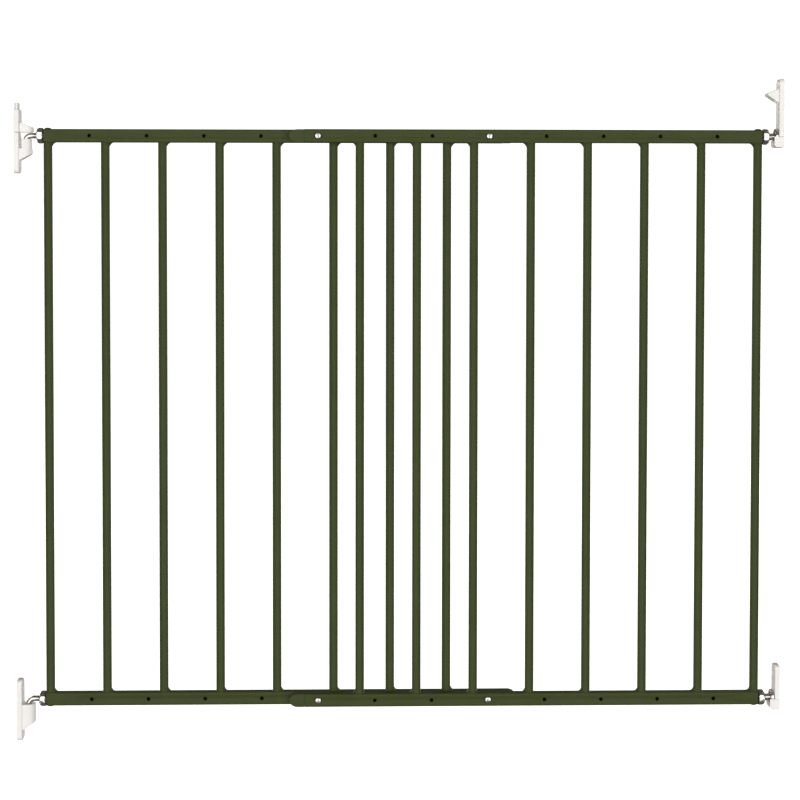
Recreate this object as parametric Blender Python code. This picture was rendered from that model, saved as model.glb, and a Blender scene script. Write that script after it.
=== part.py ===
"""Extending steel pet gate, hung on L-bent bolts between four moulded wall fittings.

The frame is two welded halves, each with an upper rail, a lower rail, an end post and seven bars.
The rear half carries the hinge bolts and the front half the lock bolts. Screws through shared holes
join the halves at the doorway's width.

The origin lies on the hinge-side wall, level with the lower bolts' axes, in the rear half's middle
plane. +X runs across the doorway to the lock side, +Y away from the room and +Z up. The gate swings
towards +Y. Every wall fitting is modelled in its own frame: x out of the wall, z up, and z = 0 on
the axis of the bolt that it holds.
"""

import math

import bmesh
import bpy
from mathutils import Vector

MM = 0.001

# Clearances
TOUCH = 0.3 * MM            # between pieces that lie against each other
SLIDE = 0.3 * MM            # each side of a sliding piece
BORE_PLAY = 0.35 * MM       # around a shank in its hole
PIVOT_PLAY = 0.4 * MM       # around a hinge bolt's leg in its bore
ROD_CLEAR = 0.45 * MM       # above and below a hinge bolt's rod
LEG_CLEAR = 1.5 * MM        # below a hinge bolt's leg
FLANGE_PLAY = 0.6 * MM      # lock flange to plate and to lip
CUT = 1 * MM                # cutters' run past a face
SUNK = 1 * MM               # joined shapes' run into each other

# Hinge and lock bolts
HINGE_ROD = 7.3 * MM
HINGE_BEND = 7.5 * MM       # bend radius on the rod's centre line
HINGE_LEG = 20 * MM         # leg's end below the bolt's axis
LOCK_SHANK = 9 * MM
LOCK_FLANGE = 20 * MM
LOCK_FLANGE_THICK = 3.4 * MM
FLANGE_CHAMFER = 0.5 * MM
BOLT_TIP = 1.5 * MM         # beyond the insert

# Adjusting nuts, inserts and rivets
NUT_ACROSS = 17.6 * MM
NUT_CORNER = 1 * MM         # round limit beyond the flats
NUT_LENGTH = 8 * MM
NUT_CHAMFER = 0.8 * MM
NUT_RIM = 1.5 * MM          # flat ring round the widest bolt on the domed end
INSERT_LENGTH = 22 * MM
INSERT_RECESS = 0.5 * MM
INSERT_CORNER = 0.8 * MM
INSERT_SIDE = 0.45 * MM     # thinnest wall beside the widest bolt
INSERT_FLOOR = 0.7 * MM     # between a rivet's tip and the widest bolt
RIVET_HEAD = 8.4 * MM
RIVET_HEIGHT = 1.5 * MM
RIVET_SHANK = 4 * MM
RIVET_GRIP = 1.2 * MM       # shank inside the insert

# Welded halves
BAR_PITCH = 71 * MM
BARS_PER_HALF = 7           # besides the end post
BAR_DIAMETER = 11 * MM
BAR_WALL = 0.8 * MM
RAIL_SPACING = 705.5 * MM   # between the upper and lower rails' centre lines
RAIL_WALL = 0.9 * MM
RAIL_CORNER = 2 * MM
RAIL_TAIL = 17 * MM         # steel beyond the last hole
HALVES_GAP = 0.5 * MM

# Adjusting holes, counted from the end post
FIRST_HOLE = 52 * MM
HOLES_PER_RAIL = 8
JOIN_HOLES = (4, 7)         # the holes that the join screws use

# Free-end plugs
PLUG_COLLAR = 8.4 * MM      # straight part of the head
PLUG_NOSE = 10.2 * MM       # half-oval part of the head
PLUG_STEP = 0.3 * MM        # head below the rail's faces
PLUG_EDGE = 1.6 * MM
PLUG_CLEAR = 1 * MM         # inside end to the last hole

# Join screws and nuts
JOIN_SHANK = 5 * MM
JOIN_HEAD = 9 * MM
JOIN_HEAD_HEIGHT = 2.4 * MM
JOIN_HEAD_EDGE = 0.84 * MM  # upright part of the head
JOIN_NUT_ACROSS = 8 * MM
JOIN_NUT_HEIGHT = 4 * MM
JOIN_END = 1.2 * MM         # shank beyond the nut

# Wall plates
PLATE_HALF = 10.5 * MM
PLATE_CORNER = 5 * MM
PLATE_EDGE = 1.2 * MM
HINGE_PLATE = 6.6 * MM
LOCK_PLATE = 6.2 * MM
SCREW_HOLE = 4.6 * MM
SCREW_SINK = 9 * MM

# Hinge sockets, with heights from the bore's floor
HINGE_CLEAR = 6.9 * MM      # plate's face to the hinge axis
BOSS_WALL = 4.75 * MM
FUNNEL = 2.3 * MM           # bore's mouth wider than the bore, all round
WAIST_WALL = 0.55 * MM      # upper boss's front wall at the bore's mouth
UPPER_BULGE_TOP = 7.5 * MM
UPPER_BULGE = 1.5 * MM
UPPER_SLOPE = (-1 * MM, -9.6 * MM)
UPPER_HOLE = -15.5 * MM
UPPER_FOOT = -25.3 * MM
WINDOW_FOOT = 5.5 * MM      # side window
WINDOW_WIDTH = 3.2 * MM
LOWER_BOSS_DROP = 2 * MM    # lower boss's top below the upper one's
LOWER_SLOPE = (-6.8 * MM, -17.4 * MM)
LOWER_FOOT_HOLE = -23 * MM
LOWER_FOOT = -30 * MM
LOWER_HEAD_HOLE = 14 * MM   # above the bolt's axis
LOWER_HEAD = 25.1 * MM      # above the bolt's axis

# Upper hinge socket's rail and the cap that slides on it, with heights from the cap's foot
TONGUE_TOP = 36.4 * MM
TONGUE_HALF = 8.4 * MM
TONGUE_THICK = 2.4 * MM
TONGUE_RIB = 4 * MM         # half width
TONGUE_STANDOFF = 2.6 * MM
TONGUE_HOLE = 18.9 * MM
TONGUE_SINK = 7.6 * MM
CAP_SEAT = 0.5 * MM         # socket's top below the cap
CAP_HEIGHT = 27.9 * MM
CAP_WALL = 2.8 * MM
CAP_FACE = 1.7 * MM
CAP_EDGE = 1.2 * MM
CAP_BACK = 0.4 * MM
JAW_LIP = 1.3 * MM          # jaw beyond the boss
JAW_HALF = 8 * MM
JAW_TIP = 5.7 * MM
JAW_ROOT = 11.9 * MM
JAW_GAP = 3.6 * MM          # jaw to the adjusting nut

# Lock cups
CUP_LIP = 1.8 * MM
CUP_WALL = 1.8 * MM
CUP_FLOOR = 3.1 * MM
CUP_ROUNDING = 4 * MM
CUP_RIM = 0 * MM            # near wall's top, at the bolt's axis
CUP_GAP = 4.6 * MM          # cup to the adjusting nut
CUP_HOLE = 0 * MM
LOWER_LOCK_HOLE = 31 * MM
LOWER_LOCK_HEAD = 42.3 * MM

# Upper lock's track and the catch that slides in it
TRACK_LIP = 1.8 * MM        # plate in front of the undercut
TRACK_UNDERCUT = 1.8 * MM
TRACK_HALF = 6.8 * MM
TRACK_MOUTH = 4.6 * MM      # half width
TRACK_RAMP = 4 * MM
TRACK_SINK = 7 * MM
WINDOW_HALF = 7.6 * MM      # catch's entry window
WINDOW_HEIGHT = 9.8 * MM
WINDOW_GAP = 0.5 * MM       # window above the catch
WINDOW_FRAME = 1.8 * MM
CATCH_TRAVEL = 36 * MM
HOOD_FOOT = 5.6 * MM        # lowered catch's foot above the bolt's axis
HOOD_CLEAR = 0.8 * MM       # above the flange
HOOD_FRONT = 1 * MM         # in front of the flange
CATCH_HEIGHT = 18.1 * MM
CATCH_APEX = 11.4 * MM      # above the catch's foot
CATCH_NOSE = 12.4 * MM      # beyond the flange
CATCH_TIP = 1.5 * MM
CATCH_STEM = 6.4 * MM
CATCH_WALL = 1.4 * MM

# Facets
BAR_SIDES = 20
ROUND_SIDES = 32
HOLE_SIDES = 16
ARC_STEPS = 4

# Welded halves, worked out
WIDEST_BOLT = max(HINGE_ROD, LOCK_SHANK)
RAIL_DEPTH = WIDEST_BOLT + 2 * (BORE_PLAY + INSERT_SIDE + TOUCH + RAIL_WALL)
RAIL_HEIGHT = WIDEST_BOLT + 2 * (BORE_PLAY + INSERT_FLOOR + TOUCH + RIVET_GRIP + TOUCH + RAIL_WALL)
HALF_SPACING = max(RAIL_DEPTH, BAR_DIAMETER) + HALVES_GAP
RAIL_OVERHANG = BAR_DIAMETER / 2
RAIL_REACH = FIRST_HOLE + (HOLES_PER_RAIL - 1) * BAR_PITCH + RAIL_TAIL
FRAME_WIDTH = 2 * FIRST_HOLE + sum(JOIN_HOLES) * BAR_PITCH
HOLE_DIAMETER = JOIN_SHANK + 2 * BORE_PLAY
BOLT_ENTRY = INSERT_RECESS + INSERT_LENGTH + BOLT_TIP
NUT_SPACE = RAIL_OVERHANG + TOUCH + NUT_LENGTH               # post's axis to the nut's domed end
LEVELS = {"lower": 0.0, "upper": RAIL_SPACING}
OUTWARD = {"lower": -1, "upper": 1}

# Hinge side, worked out from the wall
PIVOT_BORE = HINGE_ROD / 2 + PIVOT_PLAY
BOSS_RADIUS = PIVOT_BORE + BOSS_WALL
HINGE_STANDOFF = HINGE_PLATE + HINGE_CLEAR
BOSS_FRONT = HINGE_STANDOFF + BOSS_RADIUS
BOSS_WAIST = HINGE_STANDOFF + PIVOT_BORE + FUNNEL + WAIST_WALL
SOCKET_FLOOR = -HINGE_LEG - LEG_CLEAR
UPPER_BOSS_TOP = -HINGE_ROD / 2 - ROD_CLEAR
LOWER_BOSS_TOP = UPPER_BOSS_TOP - LOWER_BOSS_DROP
CAP_FOOT = HINGE_ROD / 2 + ROD_CLEAR
TONGUE_FRONT = TONGUE_STANDOFF + TONGUE_THICK
CAP_FRONT = TONGUE_FRONT + SLIDE + CAP_FACE
CAP_HALF = TONGUE_HALF + SLIDE + CAP_WALL
JAW_REACH = BOSS_FRONT + JAW_LIP
REAR_POST = JAW_REACH + JAW_GAP + NUT_SPACE
HINGE_REACH = REAR_POST - HINGE_STANDOFF

# Lock side, worked out from its wall
FLANGE_NEAR = LOCK_PLATE + FLANGE_PLAY
FLANGE_FAR = FLANGE_NEAR + LOCK_FLANGE_THICK
CUP_FRONT = FLANGE_FAR + FLANGE_PLAY + CUP_LIP
CUP_INSIDE = LOCK_FLANGE / 2 + TOUCH
CUP_NEAR = CUP_INSIDE + CUP_WALL
LOCK_REACH = CUP_FRONT + CUP_GAP + NUT_SPACE
OPENING = REAR_POST + FRAME_WIDTH + LOCK_REACH
TRACK_NECK = LOCK_PLATE - TRACK_LIP
TRACK_FLOOR = TRACK_NECK - TRACK_UNDERCUT
CATCH_FOOT = HOOD_FOOT + CATCH_TRAVEL
CATCH_TOP = CATCH_FOOT + CATCH_HEIGHT
CATCH_HALF = math.sqrt((LOCK_FLANGE / 2) ** 2 - HOOD_FOOT ** 2) + SLIDE + CATCH_WALL
CATCH_REACH = FLANGE_FAR + CATCH_NOSE
STEM_FOOT = CATCH_TOP - CATCH_STEM
TRACK_FOOT = STEM_FOOT - CATCH_TRAVEL - SLIDE
WINDOW_LOW = CATCH_TOP + WINDOW_GAP
WINDOW_HIGH = WINDOW_LOW + WINDOW_HEIGHT
UPPER_LOCK_HEAD = WINDOW_HIGH + WINDOW_FRAME
UPPER_LOCK_HOLE = (WINDOW_LOW + WINDOW_HIGH) / 2 + MM

GREEN = (0.06, 0.073, 0.027, 1.0)
ZINC = (0.62, 0.62, 0.6, 1.0)
CREAM = (0.88, 0.86, 0.8, 1.0)


def clear_scene():
    """Remove every object that the scene starts with."""
    for item in list(bpy.data.objects):
        bpy.data.objects.remove(item, do_unlink=True)


def finish(name, colour, roughness, metallic):
    """Make one Principled material."""
    material = bpy.data.materials.new(name)
    material.use_nodes = True
    shader = material.node_tree.nodes["Principled BSDF"]
    shader.inputs["Base Color"].default_value = colour
    shader.inputs["Roughness"].default_value = roughness
    shader.inputs["Metallic"].default_value = metallic
    return material


# ---------------------------------------------------------------- shapes

def rounded(corners, steps=ARC_STEPS):
    """Turn corners (u, v, radius) into an outline with an arc at each corner that has a radius."""
    outline = []
    count = len(corners)
    for index, (u, v, radius) in enumerate(corners):
        corner = Vector((u, v))
        if radius == 0:
            outline.append(corner)
            continue
        before = (Vector(corners[index - 1][:2]) - corner).normalized()
        after = (Vector(corners[(index + 1) % count][:2]) - corner).normalized()
        half = before.angle(after) / 2
        centre = corner + (before + after).normalized() * radius / math.sin(half)
        start = corner + before * radius / math.tan(half) - centre
        end = corner + after * radius / math.tan(half) - centre
        turn = start.angle_signed(end)
        for step in range(steps + 1):
            angle = -turn * step / steps
            outline.append(centre + Vector((
                start.x * math.cos(angle) - start.y * math.sin(angle),
                start.x * math.sin(angle) + start.y * math.cos(angle))))
    return [tuple(point) for point in outline]


def circle(radius, sides=ROUND_SIDES, u=0.0, v=0.0):
    """Return a circle's outline."""
    turns = [2 * math.pi * side / sides for side in range(sides)]
    return [(u + radius * math.cos(turn), v + radius * math.sin(turn)) for turn in turns]


def rectangle(half_u, half_v, radius):
    """Return a rounded rectangle's outline, centred on zero."""
    return rounded([(-half_u, -half_v, radius), (half_u, -half_v, radius),
                    (half_u, half_v, radius), (-half_u, half_v, radius)])


def place(along, u, v, w):
    """Return the point u, v of an outline at height w along an axis."""
    return {"X": (w, u, v), "Y": (u, w, v), "Z": (u, v, w)}[along]


def add_prism(shape, outline, low, high, along):
    """Add an outline, extruded along an axis from low to high."""
    corners = [shape.verts.new(place(along, u, v, low)) for u, v in outline]
    base = shape.faces.new(corners)
    grown = bmesh.ops.extrude_face_region(shape, geom=[base])["geom"]
    raised = [item for item in grown if isinstance(item, bmesh.types.BMVert)]
    bmesh.ops.translate(shape, verts=raised, vec=place(along, 0, 0, high - low))
    bmesh.ops.recalc_face_normals(shape, faces=shape.faces)


def prism(outline, low, high, along):
    """Return an outline extruded along an axis from low to high."""
    shape = bmesh.new()
    add_prism(shape, outline, low, high, along)
    return shape


def tube(outer, inner, low, high, along):
    """Return a tube whose wall lies between two outlines."""
    shape = bmesh.new()
    for outline in (outer, inner):
        ring = [shape.verts.new(place(along, u, v, low)) for u, v in outline]
        for index, vert in enumerate(ring):
            shape.edges.new((vert, ring[index - 1]))
    bmesh.ops.bridge_loops(shape, edges=shape.edges[:])
    grown = bmesh.ops.extrude_face_region(shape, geom=shape.faces[:])["geom"]
    raised = [item for item in grown if isinstance(item, bmesh.types.BMVert)]
    bmesh.ops.translate(shape, verts=raised, vec=place(along, 0, 0, high - low))
    bmesh.ops.recalc_face_normals(shape, faces=shape.faces)
    return shape


def turned(profile, sides=ROUND_SIDES):
    """Return a profile (radius, height) turned about Z; its ends lie on the axis or meet."""
    shape = bmesh.new()
    verts = [shape.verts.new((radius, 0, height)) for radius, height in profile]
    edges = [shape.edges.new(pair) for pair in zip(verts, verts[1:])]
    if profile[0][0] > 0:
        edges.append(shape.edges.new((verts[-1], verts[0])))
    bmesh.ops.spin(shape, geom=verts + edges, axis=(0, 0, 1), cent=(0, 0, 0), dvec=(0, 0, 0),
                   angle=2 * math.pi, steps=sides, use_merge=True)
    bmesh.ops.remove_doubles(shape, verts=shape.verts, dist=0.00001)
    bmesh.ops.recalc_face_normals(shape, faces=shape.faces)
    return shape


def arc(radius, start, end, steps, u=0.0, v=0.0):
    """Return points of an arc about (u, v), with its angles in degrees."""
    turns = [math.radians(start + (end - start) * step / steps) for step in range(steps + 1)]
    return [(u + radius * math.cos(turn), v + radius * math.sin(turn)) for turn in turns]


# ---------------------------------------------------------------- objects

def solid(name, shape, material, parent=None, location=(0, 0, 0), rotation=(0, 0, 0)):
    """Make a named object from a shape."""
    mesh = bpy.data.meshes.new(name)
    shape.to_mesh(mesh)
    shape.free()
    mesh.materials.append(material)
    mesh.shade_smooth()
    mesh.set_sharp_from_angle(angle=math.radians(35))
    item = bpy.data.objects.new(name, mesh)
    item.location = location
    item.rotation_euler = rotation
    item.parent = parent
    bpy.context.scene.collection.objects.link(item)
    return item


def combine(item, shape, operation):
    """Join, cut or trim an object with a shape in the object's own frame."""
    guide = solid(f"{item.name}_{operation.lower()}_{len(item.modifiers)}", shape,
                  item.data.materials[0], parent=item)
    guide.hide_render = True
    guide.display_type = "WIRE"
    boolean = item.modifiers.new(operation.title(), "BOOLEAN")
    boolean.operation = operation
    boolean.solver = "EXACT"
    boolean.object = guide


def wall_plate(outline, thickness):
    """Return a wall plate: flat against the wall, its front edge rounded off."""
    shape = prism(outline, 0, thickness, "X")
    rim = [edge for edge in shape.edges if all(vert.co.x > thickness / 2 for vert in edge.verts)]
    bmesh.ops.bevel(shape, geom=rim, offset=PLATE_EDGE, affect="EDGES", segments=2, profile=0.5, material=-1)
    return shape


def sunk_hole(height, front, sink=SCREW_SINK):
    """Return the cutter of a countersunk wall-screw hole through a plate."""
    flare = (sink - SCREW_HOLE) / 2
    profile = [(0, -CUT), (SCREW_HOLE / 2, -CUT), (SCREW_HOLE / 2, front - flare),
               (sink / 2, front), (sink / 2, front + 2 * CUT), (0, front + 2 * CUT)]
    shape = turned(profile, HOLE_SIDES)
    turn = Vector((0, 0, 1)).rotation_difference(Vector((1, 0, 0))).to_matrix()
    bmesh.ops.rotate(shape, verts=shape.verts, cent=(0, 0, 0), matrix=turn)
    bmesh.ops.translate(shape, verts=shape.verts, vec=(0, 0, height))
    return shape


# ---------------------------------------------------------------- welded halves

def rail(name, run, outward, material, parent, location):
    """Make one rail; run is the way it leaves its end post, outward points away from the bars."""
    half_depth = RAIL_DEPTH / 2
    half_height = RAIL_HEIGHT / 2
    outer = rectangle(half_depth, half_height, RAIL_CORNER)
    inner = rectangle(half_depth - RAIL_WALL, half_height - RAIL_WALL, RAIL_CORNER - RAIL_WALL)
    low, high = sorted((-run * RAIL_OVERHANG, run * RAIL_REACH))
    item = solid(name, tube(outer, inner, low, high, "X"), material, parent, location)
    holes = bmesh.new()
    for index in range(HOLES_PER_RAIL):
        outline = circle(HOLE_DIAMETER / 2, HOLE_SIDES, run * (FIRST_HOLE + index * BAR_PITCH))
        back = half_depth + CUT if index in JOIN_HOLES else 0
        add_prism(holes, outline, -half_depth - CUT, back, "Y")
    rivet_hole = circle(RIVET_SHANK / 2 + BORE_PLAY, HOLE_SIDES)
    low, high = sorted((0, outward * (half_height + CUT)))
    add_prism(holes, rivet_hole, low, high, "Z")
    combine(item, holes, "DIFFERENCE")


def plug(name, run, material, parent, location):
    """Make the plug in a rail's free end: a straight collar, then a half-oval nose."""
    half_depth = RAIL_DEPTH / 2 - PLUG_STEP
    half_height = RAIL_HEIGHT / 2 - PLUG_STEP
    face = RAIL_REACH + TOUCH
    root = face + PLUG_COLLAR
    turns = [math.radians(angle) for angle in range(-90, 91, 15)]
    nose = [(run * (root + PLUG_NOSE * math.cos(turn)), half_height * math.sin(turn)) for turn in turns]
    head = prism([(run * face, -half_height), *nose, (run * face, half_height)],
                 -half_depth, half_depth, "Y")
    rim = [edge for edge in head.edges if abs(edge.verts[0].co.y - edge.verts[1].co.y) < TOUCH
           and max(abs(vert.co.x) for vert in edge.verts) > face + TOUCH]
    bmesh.ops.bevel(head, geom=rim, offset=PLUG_EDGE, affect="EDGES", segments=2, profile=0.5,
                    material=-1, clamp_overlap=True)
    item = solid(name, head, material, parent, location)
    inside = rectangle(RAIL_DEPTH / 2 - RAIL_WALL - TOUCH, RAIL_HEIGHT / 2 - RAIL_WALL - TOUCH, INSERT_CORNER)
    tip = RAIL_REACH - RAIL_TAIL + HOLE_DIAMETER / 2 + PLUG_CLEAR
    low, high = sorted((run * tip, run * (face + SUNK)))
    combine(item, prism(inside, low, high, "X"), "UNION")


def bar(name, material, parent, location):
    """Make one upright tube between the rails."""
    radius = BAR_DIAMETER / 2
    low = RAIL_HEIGHT / 2 + TOUCH
    high = RAIL_SPACING - low
    shape = tube(circle(radius, BAR_SIDES), circle(radius - BAR_WALL, BAR_SIDES), low, high, "Z")
    solid(name, shape, material, parent, location)


def leaf(side, run, post, depth, paint, moulding, gate):
    """Make one welded half with its end plugs."""
    bar(f"{side}_post", paint, gate, (post, depth, 0))
    for number in range(1, BARS_PER_HALF + 1):
        bar(f"{side}_bar_{number}", paint, gate, (post + run * number * BAR_PITCH, depth, 0))
    for level, height in LEVELS.items():
        spot = (post, depth, height)
        rail(f"{side}_rail_{level}", run, OUTWARD[level], paint, gate, spot)
        plug(f"{side}_rail_plug_{level}", run, moulding, gate, spot)


# ---------------------------------------------------------------- hardware

def join_fasteners(level, number, across, height, metal, gate):
    """Make one screw with a domed head and its nut, joining the halves at one shared hole."""
    front = -HALF_SPACING - RAIL_DEPTH / 2 - TOUCH
    back = RAIL_DEPTH / 2 + TOUCH
    length = back + JOIN_NUT_HEIGHT + JOIN_END - front
    head = JOIN_HEAD / 2
    shank = JOIN_SHANK / 2
    rise = JOIN_HEAD_HEIGHT - JOIN_HEAD_EDGE
    crown = [(head * math.cos(turn), JOIN_HEAD_EDGE + rise * math.sin(turn))
             for turn in (math.radians(angle) for angle in (0, 30, 60))]
    profile = [(0, -length), (shank, -length), (shank, 0), (head, 0), *crown, (0, JOIN_HEAD_HEIGHT)]
    solid(f"join_screw_{level}_{number}", turned(profile, HOLE_SIDES), metal, gate,
          (across, front, height), (math.radians(90), 0, 0))
    nut = tube(circle(JOIN_NUT_ACROSS / math.sqrt(3), 6), circle(shank + BORE_PLAY, HOLE_SIDES),
               0, JOIN_NUT_HEIGHT, "Y")
    solid(f"join_nut_{level}_{number}", nut, metal, gate, (across, back, height))


def adjusting_nut(name, bolt, metal, gate, location, turn):
    """Make a hexagonal nut with a domed nose, standing on a rail's end."""
    outer = NUT_ACROSS / 2 + NUT_CORNER
    hole = bolt / 2 + BORE_PLAY
    nose = WIDEST_BOLT / 2 + NUT_RIM
    straight = NUT_LENGTH / 2
    dome = [(nose + (outer - nose) * math.cos(angle), straight + (NUT_LENGTH - straight) * math.sin(angle))
            for angle in (math.radians(18 * step) for step in range(6))]
    profile = [(hole, 0), (outer - NUT_CHAMFER, 0), (outer, NUT_CHAMFER), *dome, (hole, NUT_LENGTH)]
    item = solid(name, turned(profile), metal, gate, location, (0, turn, 0))
    hexagon = circle(NUT_ACROSS / math.sqrt(3), 6)
    combine(item, prism(hexagon, -CUT, NUT_LENGTH + CUT, "Z"), "INTERSECT")


def insert(name, run, outward, bolt, metal, gate, location):
    """Make the threaded block inside a rail's end, with the hole that its rivet enters."""
    half_depth = RAIL_DEPTH / 2 - RAIL_WALL - TOUCH
    half_height = RAIL_HEIGHT / 2 - RAIL_WALL - TOUCH
    start = INSERT_RECESS - RAIL_OVERHANG
    low, high = sorted((run * start, run * (start + INSERT_LENGTH)))
    item = solid(name, prism(rectangle(half_depth, half_height, INSERT_CORNER), low, high, "X"),
                 metal, gate, location)
    combine(item, prism(circle(bolt / 2 + BORE_PLAY, HOLE_SIDES), low - CUT, high + CUT, "X"), "DIFFERENCE")
    floor = half_height - RIVET_GRIP - TOUCH
    low, high = sorted((outward * floor, outward * (half_height + CUT)))
    combine(item, prism(circle(RIVET_SHANK / 2 + BORE_PLAY, HOLE_SIDES), low, high, "Z"), "DIFFERENCE")


def rivet(name, outward, paint, gate, location):
    """Make the domed rivet that holds an insert, its head outside the rail."""
    seat = RAIL_HEIGHT / 2 + TOUCH
    tip = RAIL_HEIGHT / 2 - RAIL_WALL - TOUCH - RIVET_GRIP
    head = RIVET_HEAD / 2
    shank = RIVET_SHANK / 2
    dome = [(head * math.cos(turn), seat + RIVET_HEIGHT * math.sin(turn))
            for turn in (math.radians(angle) for angle in (0, 25, 50, 70))]
    profile = [(0, tip), (shank, tip), (shank, seat), *dome, (0, seat + RIVET_HEIGHT)]
    turn = 0 if outward > 0 else math.pi
    solid(name, turned(profile, HOLE_SIDES), paint, gate, location, (turn, 0, 0))


def hinge_bolt(name, metal, gate, height):
    """Make an L-bent bolt: its leg on the hinge axis, its shank into the rear rail's end."""
    bend = arc(HINGE_BEND, 180, 90, 8, HINGE_BEND, -HINGE_BEND)
    end = HINGE_REACH - RAIL_OVERHANG + BOLT_ENTRY
    route = [(0, -HINGE_LEG), *bend, (end, 0)]
    curve = bpy.data.curves.new(name, "CURVE")
    curve.dimensions = "3D"
    curve.bevel_depth = HINGE_ROD / 2
    curve.bevel_resolution = 4
    curve.use_fill_caps = True
    curve.materials.append(metal)
    spline = curve.splines.new("POLY")
    spline.points.add(len(route) - 1)
    for point, (across, up) in zip(spline.points, route):
        point.co = (across, 0, up, 1)
    item = bpy.data.objects.new(name, curve)
    item.location = (0, 0, height)
    item.parent = gate
    bpy.context.scene.collection.objects.link(item)


def lock_bolt(name, metal, gate, location):
    """Make a lock bolt: a round flange on a shank that enters the front rail's end."""
    flange = LOCK_FLANGE / 2
    shank = LOCK_SHANK / 2
    reach = LOCK_REACH - FLANGE_NEAR
    collar = LOCK_REACH - FLANGE_FAR
    entry = RAIL_OVERHANG - BOLT_ENTRY
    profile = [(0, entry), (shank, entry), (shank, collar), (flange - FLANGE_CHAMFER, collar),
               (flange, collar + FLANGE_CHAMFER), (flange, reach - FLANGE_CHAMFER),
               (flange - FLANGE_CHAMFER, reach), (0, reach)]
    solid(name, turned(profile), metal, gate, location, (0, math.radians(90), 0))


def end_hardware(side, run, post, depth, bolt, metal, paint, gate):
    """Make the inserts, painted rivets and adjusting nuts at both rails of one end post."""
    for level, height in LEVELS.items():
        spot = (post, depth, height)
        insert(f"{side}_insert_{level}", run, OUTWARD[level], bolt, metal, gate, spot)
        rivet(f"{side}_rivet_{level}", OUTWARD[level], paint, gate, spot)
        seat = (post - run * (RAIL_OVERHANG + TOUCH), depth, height)
        adjusting_nut(f"{side}_adjusting_nut_{level}", bolt, metal, gate, seat, -run * math.pi / 2)


# ---------------------------------------------------------------- hinge fittings

def plate_outline(foot, head, lower_corner, upper_corner):
    """Return a wall plate's outline, seen from the doorway."""
    return rounded([(-PLATE_HALF, foot, lower_corner), (PLATE_HALF, foot, lower_corner),
                    (PLATE_HALF, head, upper_corner), (-PLATE_HALF, head, upper_corner)])


def boss_outline(radius, centre, root):
    """Return a boss's outline from above: straight flanks and a round front."""
    return [(root, -radius), *arc(radius, -90, 90, 12, centre), (root, radius)]


def slope_cutter(start, end):
    """Return the wedge below a line from a boss's front at start down to its plate at end."""
    rise = (start - end) / (BOSS_FRONT - HINGE_PLATE)
    past = BOSS_FRONT + CUT
    low = end - 2 * CUT
    outline = [(HINGE_PLATE, end), (past, start + rise * CUT), (past, low), (HINGE_PLATE, low)]
    return prism(outline, -2 * PLATE_HALF, 2 * PLATE_HALF, "Y")


def hinge_socket(name, foot, head, head_corner, boss_top, slope, holes, moulding, height):
    """Make a wall plate with the boss whose bore takes a hinge bolt's leg."""
    outline = plate_outline(foot, head, PLATE_CORNER, head_corner)
    item = solid(name, wall_plate(outline, HINGE_PLATE), moulding, location=(0, 0, height))
    start, end = (SOCKET_FLOOR + below for below in slope)
    boss = prism(boss_outline(BOSS_RADIUS, HINGE_STANDOFF, HINGE_PLATE / 2), end - CUT, boss_top, "Z")
    combine(item, boss, "UNION")
    combine(item, slope_cutter(start, end), "DIFFERENCE")
    mouth = PIVOT_BORE + FUNNEL
    throat = min(boss_top - FUNNEL, -HINGE_BEND)
    profile = [(0, SOCKET_FLOOR), (PIVOT_BORE, SOCKET_FLOOR), (PIVOT_BORE, throat),
               (mouth, boss_top), (mouth, boss_top + CUT), (0, boss_top + CUT)]
    cutter = turned(profile)
    bmesh.ops.translate(cutter, verts=cutter.verts, vec=(HINGE_STANDOFF, 0, 0))
    combine(item, cutter, "DIFFERENCE")
    for hole in holes:
        combine(item, sunk_hole(hole, HINGE_PLATE), "DIFFERENCE")
    return item


def lower_hinge_socket(moulding, height):
    """Make the lower hinge socket."""
    hinge_socket("hinge_socket_lower", SOCKET_FLOOR + LOWER_FOOT, LOWER_HEAD, PLATE_CORNER, LOWER_BOSS_TOP,
                 LOWER_SLOPE, (LOWER_HEAD_HOLE, SOCKET_FLOOR + LOWER_FOOT_HOLE), moulding, height)


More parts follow.
